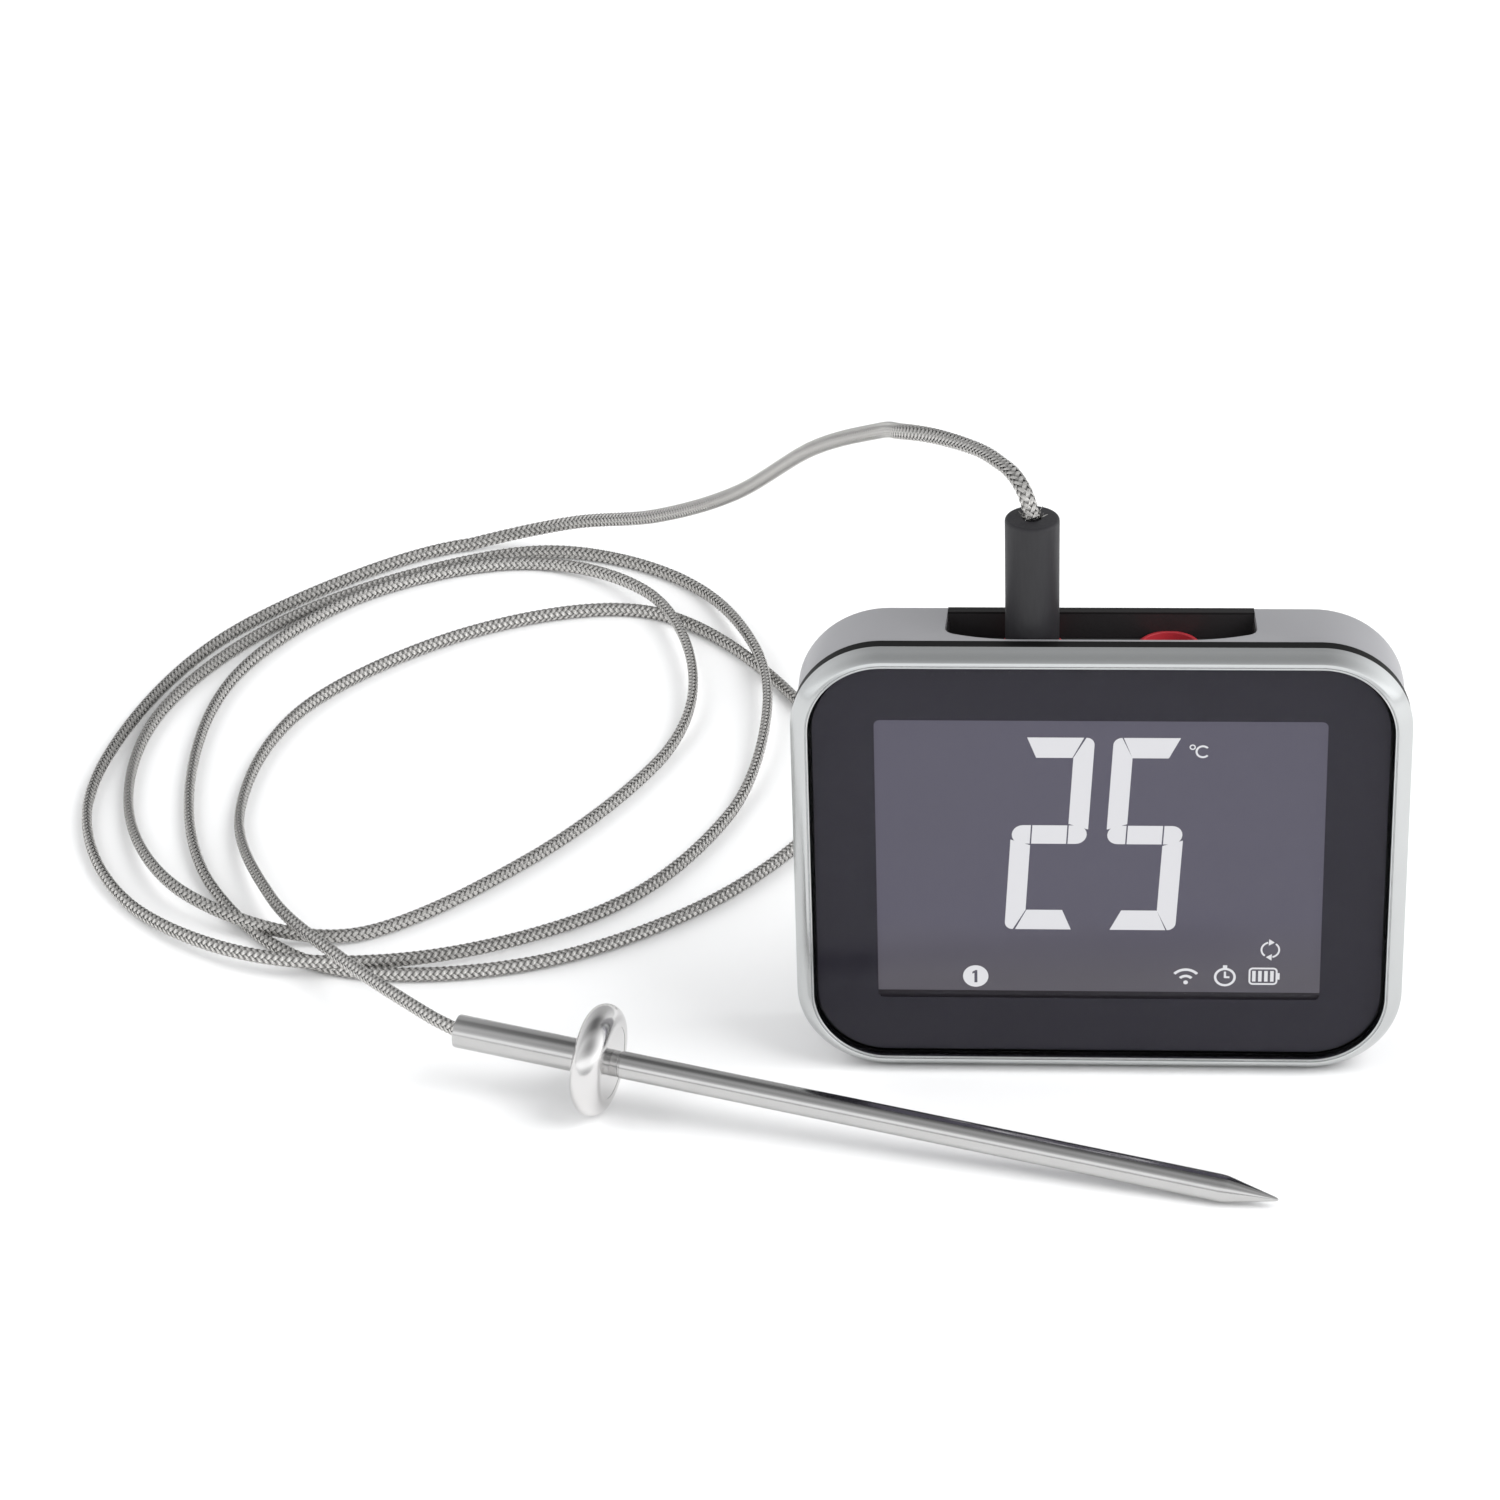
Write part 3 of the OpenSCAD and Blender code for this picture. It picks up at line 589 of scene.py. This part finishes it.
LEAD_AT = [
    (-11, 1.05, 99.7), (-12.1, 2.4, 103.2), (-13.9, 5.7, 104.8), (-16.2, 10.4, 104.6), (-20, 18, 103.2),
    (-27, 30, 99.5), (-33.5, 41, 95), (-38, 57, 87), (-51, 86, 69), (-68, 126, 39.5), (-86, 155, 19.5),
    (-105, 174, 8), (-126, 177, 1.5),
]
LOOPS_AT = [
    (-149, 162, 1.4), (-171, 136, 1.4), (-183, 103, 1.4), (-185, 70, 1.4), (-172, 40, 1.4),
    (-145, 20, 3.4), (-114, 23, 2.2), (-84, 42, 1.4), (-67, 72, 1.4), (-62, 103, 3.5), (-66, 132, 3.5),
    (-81, 161, 1.4), (-108, 174, 1.4), (-136, 164, 1.4), (-162, 141, 1.4), (-178, 107, 1.4),
    (-177, 70, 1.6), (-160, 38, 4), (-131, 30, 1.6), (-102, 56, 1.4), (-81, 92, 1.4), (-77, 121, 3.5),
    (-88, 153, 3.4), (-113, 169, 1.4), (-144, 156, 1.4), (-165, 124, 1.4), (-168, 84, 1.4),
    (-158, 46, 1.4), (-134, 20, 1.4), (-97, 22, 1.4), (-64, 47, 1.4), (-47, 84, 1.4), (-62, 123, 1.4),
    (-88, 149, 1.4), (-121, 141, 1.4), (-150, 111, 1.4), (-157, 73, 1.4), (-146, 38, 4.4),
    (-130, 14, 7), (-113.3, -7.4, 10.4), (-106.42, -14.23, 11.14),
]
lead_wide = 2.85 * MM
lead_thin = 2.0 * MM


def smooth_route(corners, steps=24):
    """Points on the smooth curve through the corners, kept above the floor."""
    p = np.array(corners, float) * MM
    p = np.vstack([2 * p[0] - p[1], p, 2 * p[-1] - p[-2]])
    t = np.linspace(0, 1, steps, endpoint=False)[:, None]
    spans = [
        0.5 * (2 * b + (c - a) * t + (2 * a - 5 * b + 4 * c - d) * t**2 + (3 * b - a - 3 * c + d) * t**3)
        for a, b, c, d in zip(p, p[1:], p[2:], p[3:])
    ]
    route = np.vstack([*spans, p[-2:-1]])
    route[:, 2] = np.maximum(route[:, 2], lead_wide / 2 + 0.05 * MM)
    return route


def wide_ways(route):
    """Which way the lead's wide side lies at each point: level where it leaves the plug, then upright."""
    way = np.gradient(route, axis=0)
    way /= np.linalg.norm(way, axis=1)[:, None]
    gone = np.concatenate([[0], np.cumsum(np.linalg.norm(np.diff(route, axis=0), axis=1))])
    turn = np.clip((gone - 0.012) / 0.05, 0, 1)[:, None]
    side = np.array([[0.88, 0.47, 0.0]]) * (1 - turn) + np.array([[0.0, 0.0, 1.0]]) * turn
    side = side - (side * way).sum(axis=1)[:, None] * way
    return side / np.linalg.norm(side, axis=1)[:, None]


def add_lead(steel):
    route = smooth_route(LEAD_AT + LOOPS_AT)
    length = float(np.linalg.norm(np.diff(route, axis=0), axis=1).sum())
    mesh = bpy.data.meshes.new("route")
    mesh.from_pydata([tuple(p) for p in route], [(i, i + 1) for i in range(len(route) - 1)], [])
    wide_way = mesh.attributes.new("wide_way", "FLOAT_VECTOR", "POINT")
    wide_way.data.foreach_set("vector", wide_ways(route).ravel())
    source = bpy.data.objects.new("braided_lead", mesh)
    bpy.context.scene.collection.objects.link(source)
    lay, strips, per_lay, core_step = 9.6 * MM, 8, 16, 2.4 * MM
    weave, crown = 0.12 * MM, 0.07 * MM
    cord = grown("braided_lead", source, braid_tree(), {
        "Half width": lead_wide / 2 - weave - crown, "Half thickness": lead_thin / 2 - weave - crown,
        "Lay": lay, "Strips each way": strips, "Strip turn": tau / strips * 0.82,
        "Weave height": weave, "Crown": crown, "Material": steel,
        "Samples": int(length / lay * per_lay), "Core samples": int(length / core_step),
    })
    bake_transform(cord)
    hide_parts("cable_lead", "cable_loops")
    return cord, route


# ---------- the probe ----------


def along_probe(distance):
    """The point at a distance in front of the disc's middle."""
    return disc_at + probe_way * distance


def add_probe(m):
    sleeve_r, bore_r, needle_r = 2.8 * MM, 1.6 * MM, 2.3 * MM
    profile = [(0.2 * MM, 1.6 * MM), (bore_r, 1.6 * MM), (bore_r, 0.3 * MM)]
    profile += [(bore_r + 0.15 * MM, 0.06 * MM), (sleeve_r - 0.35 * MM, 0), (sleeve_r - 0.1 * MM, 0.1 * MM)]
    profile += [(sleeve_r, 0.35 * MM), (sleeve_r, sleeve_l), (0.2 * MM, sleeve_l)]
    sleeve = turned("probe_handle", profile, along_probe(-disc_t / 2 - sleeve_l), probe_way)
    finish_piece(sleeve, m["turned"], "display_unit", "probe_steel", "probe_sleeve")

    disc_r, half = 9.45 * MM, disc_t / 2
    face, dish = 0.12 * MM, 6.8 * MM
    profile = [(0.5 * MM, -half + face), (dish - 0.6 * MM, -half + face)]
    profile += bend(disc_r - half, 0, half, -105, 105, 26)
    profile += [(dish - 0.6 * MM, half - face), (0.5 * MM, half - face)]
    disc = turned("stop_disc", profile, along_probe(0), probe_way, 96, 40)
    finish_piece(disc, m["disc"], "display_unit", "disc_steel", "probe_disc")

    tip_l, hub_l, hub_r = 9 * MM, 1.3 * MM, 2.2 * MM
    start = half - face
    profile = [(0.4 * MM, start - 0.3 * MM), (hub_r - 0.1 * MM, start - 0.3 * MM), (hub_r, start)]
    profile += [(hub_r, start + hub_l - 0.15 * MM), (hub_r - 0.15 * MM, start + hub_l)]
    profile += [(needle_r - 0.1 * MM, start + hub_l), (needle_r - 0.1 * MM, start + hub_l + 0.25 * MM)]
    # the shank, then the cone down to the point
    shoulder, point = half + needle_l - tip_l, half + needle_l
    profile += [(needle_r, start + hub_l + 0.35 * MM), (needle_r, shoulder - 1 * MM)]
    profile += [(needle_r * 0.985, shoulder), (needle_r * 0.93, shoulder + 0.8 * MM)]
    profile += [(0.35 * MM, point - 0.5 * MM), (0.2 * MM, point - 0.12 * MM), (0.05 * MM, point - 0.01 * MM)]
    needle = turned("needle", profile, along_probe(0), probe_way, 64, 25)
    finish_piece(needle, m["turned"], "display_unit", "probe_steel", "probe_needle")


# ---------- the plug ----------


def add_plug(m):
    low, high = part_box("plug_grip")
    stouter = 0.18 * MM
    middle, r = (low + high) / 2, (high.x - low.x) / 2 + stouter
    length = high.z - low.z
    hole, edge = 1.4 * MM, 0.55 * MM
    profile = [(0.2 * MM, 0), (r - 0.5 * MM, 0), (r - 0.12 * MM, 0.12 * MM), (r, 0.5 * MM)]
    profile += [(r * (1 - 0.006 * sin(pi * i / 8)), length * i / 8) for i in range(1, 8)]
    profile += bend(r - edge, length - edge, edge, 0, 90, 6)
    profile += [(hole + 0.15 * MM, length), (hole, length - 0.15 * MM), (hole, length - 0.6 * MM)]
    profile += [(0.2 * MM, length - 0.6 * MM)]
    grip = turned("plug_grip_rubber", profile, (middle.x, middle.y, low.z), (0, 0, 1), 96, 40)
    finish_piece(grip, m["rubber"], "plug", "plug_rubber", "plug_grip")
    return grip


def add_frays(m):
    """Cut wire ends of the braid that stand out round the hole in the plug's top."""
    draw = np.random.default_rng(7)
    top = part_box("plug_grip")[1].z
    middle = Vector((-11, 1.05, 0)) * MM
    wires = []
    count, r = 22, 0.06 * MM
    ring = [Vector((r * cos(tau * k / 5), r * sin(tau * k / 5), 0)) for k in range(5)]
    for i in range(count):
        a = tau * i / count + draw.uniform(-0.2, 0.2)
        foot = middle + Vector((1.15 * cos(a), 0.9 * sin(a), 0)) * MM
        foot.z = top - 0.5 * MM
        lean = Vector((cos(a), sin(a), 0)) * draw.uniform(0.1, 0.9)
        rise = Vector((draw.uniform(-0.3, 0.3), draw.uniform(-0.3, 0.3), draw.uniform(0.8, 1.7)))
        ends = [foot, foot + (lean * 0.3 + rise * 0.55) * MM, foot + (lean * 1.3 + rise) * MM]
        wires.append(loft("wire", [[point + side for side in ring] for point in ends]))
    finish_piece(joined("frayed_wires", wires), m["nickel"], "plug", "steel_braid")


# ---------- the display unit ----------


# how far the seam between the bezel and the housing is widened on the bezel's side
seam_gap = 0.35 * MM


def add_front(m):
    low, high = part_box("bezel")
    front, rear = -low.y, -high.y
    # distances out from the outline and forwards, from the inner rear edge round the outside
    rear += seam_gap
    profile = [(-2.9 * MM, rear), (-0.2 * MM, rear), (-0.04 * MM, rear + 0.08 * MM), (0, rear + 0.2 * MM)]
    # the broad facet, a little bowed
    start, end, bow = Vector((-0.12, rear / MM + 0.36)), Vector((-1.9, front / MM - 0.2)), 0.11
    out = Vector((end.y - start.y, start.x - end.x)).normalized()
    for i in range(13):
        s = i / 12
        spot = start.lerp(end, s) + out * bow * 4 * s * (1 - s)
        profile.append((spot.x * MM, spot.y * MM))
    # then two bright facets with a groove between them, down to the glass
    profile += [(x * MM, front + y * MM) for x, y in (
        (-1.98, -0.15), (-2.3, -0.03), (-2.36, 0), (-2.42, -0.06), (-2.46, -0.22), (-2.54, -0.24),
        (-2.6, -0.14), (-2.66, -0.1), (-2.84, -0.04), (-2.89, -0.1), (-2.9, -0.6),
    )]
    loops = [outline(low, high, bezel_corner, -f, o, 30) for o, f in profile]
    bezel = loft("bezel_ring", loops, wrap=True, sharp=28)
    finish_piece(bezel, m["ring"], "display_unit", "polished_ring", "bezel")

    low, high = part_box("front_glass")
    edge = 0.25 * MM
    # the rear face stays a little in front of the black print
    profile = [(-edge, low.y), (-0.08 * MM, low.y + 0.08 * MM), (0, low.y + edge), (0, high.y - 0.05 * MM)]
    glass = loft("cover_glass", [outline(low, high, glass_corner, y, o) for o, y in profile])
    finish_piece(glass, m["glass"], "display_unit", "cover_glass", "front_glass", "touch_film")


def thin_shapes(name, shapes, y, thickness=0.03 * MM):
    """Flat marks, each a list of (x, z) corners, made as thin plates whose fronts are at y."""
    points, faces = [], []
    for shape in shapes:
        n, at = len(shape), len(points)
        points += [(x, y, z) for x, z in shape] + [(x, y + thickness, z) for x, z in shape]
        faces += [tuple(range(at, at + n)), tuple(range(at + 2 * n - 1, at + n - 1, -1))]
        faces += [(at + k, at + (k + 1) % n, at + n + (k + 1) % n, at + n + k) for k in range(n)]
    return made_object(name, points, faces)


def arc_band(x, z, r, width, start, end, steps=20):
    """A curved stroke of a given width."""
    return bend(x, z, r + width / 2, start, end, steps) + bend(x, z, r - width / 2, end, start, steps)


def digit_parts(lit_parts):
    """The strokes of a seven-segment figure about its middle, before it leans."""
    w, h, t, v, gap = 6.25, 18.25, 3.75, 3.25, 0.16
    inner, outer, mid = w - v, 4.65, 1.9
    top = [(-outer, h), (outer, h), (inner, h - t), (-inner, h - t)]
    top = [(x - gap if x > 0 else x, z) for x, z in top]
    # an upper right stroke: its top corner is round, and it ends on the middle bar
    side = [(inner, mid + gap), (w, mid * 0.45 + gap)] + bend(w - 1.35, h - 1.35, 1.35, 0, 72, 6)
    side += [(outer + gap * 1.5, h), (inner, h - t)]
    cap = [(inner + gap / 2, -mid + gap)] + bend(w - mid, 0, mid - gap, -90, 90, 10)
    cap += [(inner + gap / 2, mid - gap)]
    x, z = inner - gap, mid - gap
    bar = [(-x, z), (x, z), (x, -z), (-x, -z)]
    flip = {"none": (1, 1), "x": (-1, 1), "z": (1, -1), "both": (-1, -1)}
    parts = {
        "top": (top, "none"),
        "bottom": (top, "both"),
        "upper_right": (side, "none"),
        "upper_left": (side, "x"),
        "lower_right": (side, "z"),
        "lower_left": (side, "both"),
        "cap_right": (cap, "none"),
        "cap_left": (cap, "x"),
        "bar": (bar, "none"),
    }
    made = []
    for part in lit_parts:
        shape, how = parts[part]
        sx, sz = flip[how]
        made.append([(x * sx, z * sz) for x, z in shape])
    return made


def add_display(m):
    low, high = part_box("lcd_panel")
    y = low.y
    # the lit ground ends at a level above the panel's foot, and a dark strip fills the rest
    level, film = 15.4 * MM, 0.04 * MM
    ground = [(low.x, level), (high.x, level), (high.x, high.z), (low.x, high.z)]
    field = thin_shapes("lcd_ground", [ground], y - film, film)
    finish_piece(field, m["field"], "display_unit", "display_picture")
    strip = [(low.x, low.z), (high.x, low.z), (high.x, level), (low.x, level)]
    foot = thin_shapes("lcd_foot_strip", [strip], y - film, film)
    finish_piece(foot, m["foot"], "display_unit", "display_picture")

    lean = 0.06
    figures = {
        -8.17: ("top", "upper_right", "cap_right", "bar", "cap_left", "lower_left", "bottom"),
        7.35: ("top", "upper_left", "cap_left", "bar", "cap_right", "lower_right", "bottom"),
    }
    mid_z = 45.75
    shapes = []
    for x, parts in figures.items():
        for shape in digit_parts(parts):
            shapes.append([(x + px + lean * pz, mid_z + pz) for px, pz in shape])
    # degree sign and unit
    shapes.append(arc_band(14.85, 62.35, 0.4, 0.2, 0, 359.9, 28))
    shapes.append(arc_band(16.5, 61.52, 1.02, 0.32, 42, 318, 22))
    # signal fan: a dot and two arcs
    shapes.append(bend(14.4, 17.3, 0.38, 0, 340, 16))
    for r in (1.25, 2.5):
        shapes.append(arc_band(14.4, 17.3, r, 0.46, 42, 138, 16))
    # timer: a ring, a button on it and two hands
    shapes.append(arc_band(20.85, 18.4, 1.6, 0.4, 0, 359.9, 36))
    timer_bars = ((20.5, 20.2, 21.2, 20.7), (20.67, 18.25, 21.03, 19.45), (20.85, 18.2, 21.6, 18.55))
    for x0, z0, x1, z1 in timer_bars:
        shapes.append([(x0, z0), (x1, z0), (x1, z1), (x0, z1)])
    # battery: an outline with round corners, an end and four bars
    x0, x1, z0, z1, line, r = 24.75, 29.5, 16.95, 20.3, 0.3, 0.7
    corners = ((x1 - r, z1 - r, 0), (x0 + r, z1 - r, 90), (x0 + r, z0 + r, 180), (x1 - r, z0 + r, 270))
    for x, z, start in corners:
        shapes.append(arc_band(x, z, r - line / 2, line, start, start + 90, 6))
    shapes += [
        [(x0 + r, z0), (x1 - r, z0), (x1 - r, z0 + line), (x0 + r, z0 + line)],
        [(x0 + r, z1 - line), (x1 - r, z1 - line), (x1 - r, z1), (x0 + r, z1)],
        [(x0, z0 + r), (x0 + line, z0 + r), (x0 + line, z1 - r), (x0, z1 - r)],
        [(x1 - line, z0 + r), (x1, z0 + r), (x1, z1 - r), (x1 - line, z1 - r)],
        [(x1, 18), (x1 + 0.35, 18), (x1 + 0.35, 19.25), (x1, 19.25)],
    ]
    # turning arrows: two arcs that chase each other clockwise
    for turn in (0, 180):
        shapes.append(arc_band(28.2, 23.8, 1.45, 0.3, turn + 232, turn + 105, 16))
        a = radians(turn + 88)
        ahead, out = Vector((sin(a), -cos(a))), Vector((cos(a), sin(a)))
        head = Vector((28.2, 23.8)) + out * 1.45
        shapes.append([tuple(head + ahead * 0.62), tuple(head - ahead * 0.3 + out * 0.62),
                       tuple(head - ahead * 0.3 - out * 0.62)])
    # channel number in a disc
    channel_x, channel_z = -20.3, 18.2
    shapes.append(bend(channel_x, channel_z, 2.1, 0, 350, 35))
    shapes = [[(x * MM, z * MM) for x, z in shape] for shape in shapes]
    marks = thin_shapes("lcd_figures", shapes, y - 0.09 * MM, 0.05 * MM)
    finish_piece(marks, m["mark"], "display_unit", "display_picture")
    one = [
        (0.28, -1.2), (0.28, 1.2), (-0.05, 1.2), (-0.55, 0.85), (-0.55, 0.5), (-0.22, 0.68), (-0.22, -1.2),
    ]
    one = [((channel_x + x) * MM, (channel_z + z) * MM) for x, z in one]
    numeral = thin_shapes("lcd_channel_one", [one], y - 0.12 * MM)
    finish_piece(numeral, m["unlit"], "display_unit", "display_picture")

    first = [(x * MM, z * MM) for x, z in ((25.33, 17.6), (25.9, 17.6), (25.9, 19.65), (25.33, 19.65))]
    bar = thin_shapes("battery_bars", [first], y - 0.09 * MM, 0.05 * MM)
    row = {"Count": 4, "Step": (0.99 * MM, 0, 0), "Material": m["mark"]}
    bars = grown("battery_bars", bar, row_tree(), row)
    finish_piece(bars, m["mark"], "display_unit", "display_picture")


def seam_ring():
    """A near-black ring in the seam between the bezel and the housing, all round: painted shade in the gap.
    """
    low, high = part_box("bezel")
    rear, front = -4.6 * MM, high.y - seam_gap + 0.01 * MM
    profile = [(-2.2 * MM, front), (-0.12 * MM, front), (-0.12 * MM, rear), (-2.2 * MM, rear)]
    return loft("seam", [outline(low, high, bezel_corner, y, o, 30) for o, y in profile], wrap=True)


def pocket_wall():
    """The pocket's rear wall, out to the housing on both sides."""
    corners = [(-24.75, 5.9), (24.75, 5.9), (24.65, 7.42), (-24.65, 7.42)]
    return loft("wall", [[(x * MM, y * MM, z * MM) for x, y in corners] for z in (75.3, 79.7)])


def add_pocket_ribs(m):
    """Upright ribs on the end walls of the jacks' pocket, and a lip along its rear wall, darker than the
    black plastic: painted shade on its lit top.
    """
    corners = [(-24.75, 5.88), (24.75, 5.88), (24.66, 7.44), (-24.66, 7.44)]
    # the lip's top in painted shade, darker than the black plastic
    lip = loft("pocket_lip", [[(x * MM, y * MM, z * MM) for x, y in corners] for z in (79.6, 79.95)])
    finish_piece(lip, m["lip"], "display_unit", "black_plastic")
    for side, name in ((-1, "pocket_ribs_left"), (1, "pocket_ribs_right")):
        x, y, foot, head = side * 24.95 * MM, 0.9 * MM, 75.25 * MM, 78.15 * MM
        tip, wide = x - side * 0.35 * MM, 0.28 * MM
        corners = [(x, y - wide), (tip, y - wide * 0.6), (tip, y + wide * 0.6), (x, y + wide)]
        rib = loft("rib", [[(cx, cy, z) for cx, cy in corners] for z in (foot, head)])
        ribs = grown(name, rib, row_tree(), {"Count": 5, "Step": (0, 1.15 * MM, 0), "Material": m["black"]})
        finish_piece(ribs, m["black"], "display_unit", "black_plastic")


def add_case(m):
    for name, cad_node, finish, slot, edge in (
        ("housing_shell", "housing", "housing", "grey_housing", 0.15),
        # the carrier and the seam ring in near black: painted shade in the seam
        ("carrier_frame", "display_carrier", "gap", "black_plastic", 0),
        ("rear_cover_shell", "rear_cover", "black", "black_plastic", 0.12),
        ("pocket_tray", "jack_tray", "black", "black_plastic", 0.08),
        ("jack_collar_left", "collar_left", "red", "red_collar", 0.12),
        ("jack_collar_right", "collar_right", "red", "red_collar", 0.12),
        ("foot_rubber", "foot_strip", "soft", "soft_rubber", 0.1),
    ):
        piece = refined(name, cad_node, edge * MM)
        if cad_node == "display_carrier":
            piece = joined(name, [piece, seam_ring()])
        if cad_node == "jack_tray":
            piece = joined(name, [piece, pocket_wall()])
        finish_piece(piece, m[finish], "display_unit", slot, cad_node)
    for name, cad_node, finish, slot, body in (
        ("stand_leaf", "stand", "black", "stand_plastic", "stand"),
        ("power_key", "power_button", "housing", "grey_housing", "power_button"),
        ("port_flap", "port_cover", "soft", "soft_rubber", "port_cover"),
    ):
        finish_piece(refined(name, cad_node), m[finish], body, slot, cad_node)


def paint_parts(m):
    """Materials for the CAD parts that stay as they are."""
    painted = {
        "print": ["glass_border"],
        "milk": ["light_guide"],
        "tin": ["display_can", "wireless_module", "charge_port", "magnets"],
        "field": ["lcd_panel"],
        # near black: painted shade in the jacks' holes; the plug's ring and the hidden parts share it
        "gap": ["jack_left", "jack_right", "buzzer", "power_switch", "plug_ring"],
        "gold": ["jack_terminals"],
        "board": ["main_board"],
        "amber": ["display_ribbon"],
        "foil": ["battery"],
        "tape": ["battery_tape"],
        "zinc": ["rear_screws", "board_screws", "stand_pin"],
        "nickel": ["plug_sleeve", "plug_tip"],
        "bead": ["sensor_bead"],
    }
    for finish, names in painted.items():
        for name in names:
            nodes[name].data.materials.clear()
            nodes[name].data.materials.append(m[finish])


# ---------- the whole ----------

add_camera()
finishes = make_materials()
cord, route = add_lead(finishes["braid"])
add_studio()
add_probe(finishes)
grip = add_plug(finishes)
add_front(finishes)
add_display(finishes)
add_case(finishes)
add_pocket_ribs(finishes)
add_frays(finishes)
paint_parts(finishes)
